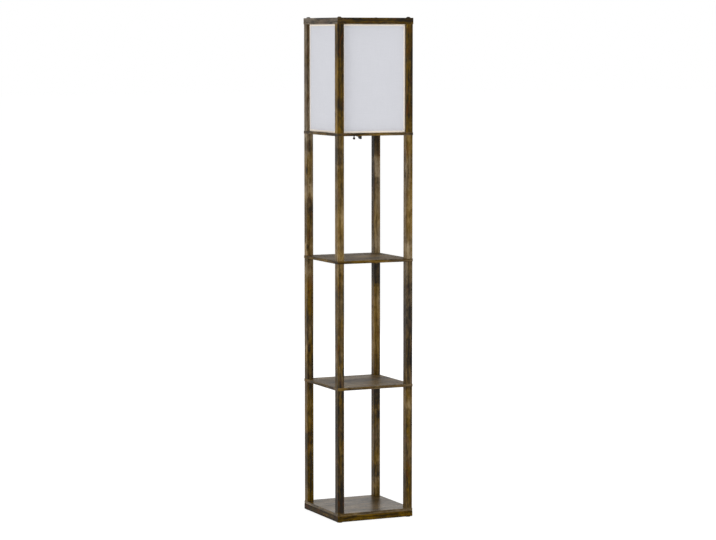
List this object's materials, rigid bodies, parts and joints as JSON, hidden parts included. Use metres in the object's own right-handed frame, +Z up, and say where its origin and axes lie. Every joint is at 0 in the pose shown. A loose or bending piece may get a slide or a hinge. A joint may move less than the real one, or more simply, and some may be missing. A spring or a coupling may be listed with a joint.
{
  "type": "shelf floor lamp",
  "caption": "Square tower floor lamp in dark wood with open shelves, a box shade with fabric panels on top, and a pull-chain switch under the shade's plate.",
  "frame": {"origin": "centre of the footprint on the floor, under the foot pads", "axes": "+Z up the tower; -Y is the front face, +X its right-hand side seen from the front; the pull chain is on the -X side of the middle"},
  "size_m": [0.264, 0.264, 1.6038],
  "materials": {
    "wood": "satin dark wood-grain veneer on fibreboard",
    "shade_fabric": "matt off-white fabric laminated on a stiff sheet",
    "dark_bronze": "dark bronze",
    "zinc_steel": "zinc plated",
    "brass": "plain brass",
    "black_plastic": "moulded black",
    "porcelain": "glazed",
    "wire_sleeve": "insulated wire",
    "bulb_metal": "bright",
    "bulb_collar_plastic": "white",
    "frosted_glass": "frosted white",
    "felt": "felt"
  },
  "bodies": {
    "tower": {"base_board": "wood", "base_bolts": "zinc_steel", "base_rail_back": "wood", "base_rail_front": "wood", "base_rail_left": "wood", "base_rail_right": "wood", "bulb_cap": "bulb_metal", "bulb_collar": "bulb_collar_plastic", "bulb_contact": "bulb_metal", "bulb_globe": "frosted_glass", "centre_contact": "brass", "chain_guide": "dark_bronze", "cord_gland": "black_plastic", "foot_pads": "felt", "holder_cap": "black_plastic", "holder_insulator": "porcelain", "holder_nipple": "brass", "holder_shell": "black_plastic", "lamp_plate": "wood", "lead_wires": "wire_sleeve", "lever_pin": "zinc_steel", "lower_post_back_left": "wood", "lower_post_back_right": "wood", "lower_post_front_left": "wood", "lower_post_front_right": "wood", "lower_shelf": "wood", "lower_studs": "zinc_steel", "middle_post_back_left": "wood", "middle_post_back_right": "wood", "middle_post_front_left": "wood", "middle_post_front_right": "wood", "middle_studs": "zinc_steel", "nipple_nut": "brass", "nipple_washer": "zinc_steel", "post_inserts": "brass", "return_spring": "zinc_steel", "screw_shell": "brass", "shade_panel_back": "shade_fabric", "shade_panel_front": "shade_fabric", "shade_panel_left": "shade_fabric", "shade_panel_right": "shade_fabric", "shade_post_back_left": "wood", "shade_post_back_right": "wood", "shade_post_front_left": "wood", "shade_post_front_right": "wood", "switch_contacts": "brass", "top_cap_bolts": "dark_bronze", "top_rail_back": "wood", "top_rail_front": "wood", "top_rail_left": "wood", "top_rail_right": "wood", "upper_post_back_left": "wood", "upper_post_back_right": "wood", "upper_post_front_left": "wood", "upper_post_front_right": "wood", "upper_shelf": "wood", "upper_studs": "zinc_steel"},
    "chain": {"pull_chain": "dark_bronze"},
    "knob": {"pull_knob": "dark_bronze"},
    "lever": {"switch_lever": "brass"}
  },
  "joints": [
    {"name": "chain_pull", "type": "slide", "parent": "tower", "child": "chain", "axis": [0, 0, -1], "range_m": [0, 0.006], "stiffness_N_per_m": 400, "springref_m": -0.003},
    {"name": "lever_rock", "type": "hinge", "parent": "tower", "child": "lever", "pos_m": [-0.004, 0, 1.255], "axis": [0, -1, 0], "range_deg": [0, 31.5], "deforming": ["return_spring"]},
    {"name": "knob_swing", "type": "hinge", "parent": "chain", "child": "knob", "pos_m": [-0.014, 0, 1.2245], "axis": [0, 1, 0], "range_deg": [-30, 30]}
  ],
  "couplings": [
    {"joint": "lever_rock", "follows": "chain_pull", "rad_per_m": 90.175}
  ]
}
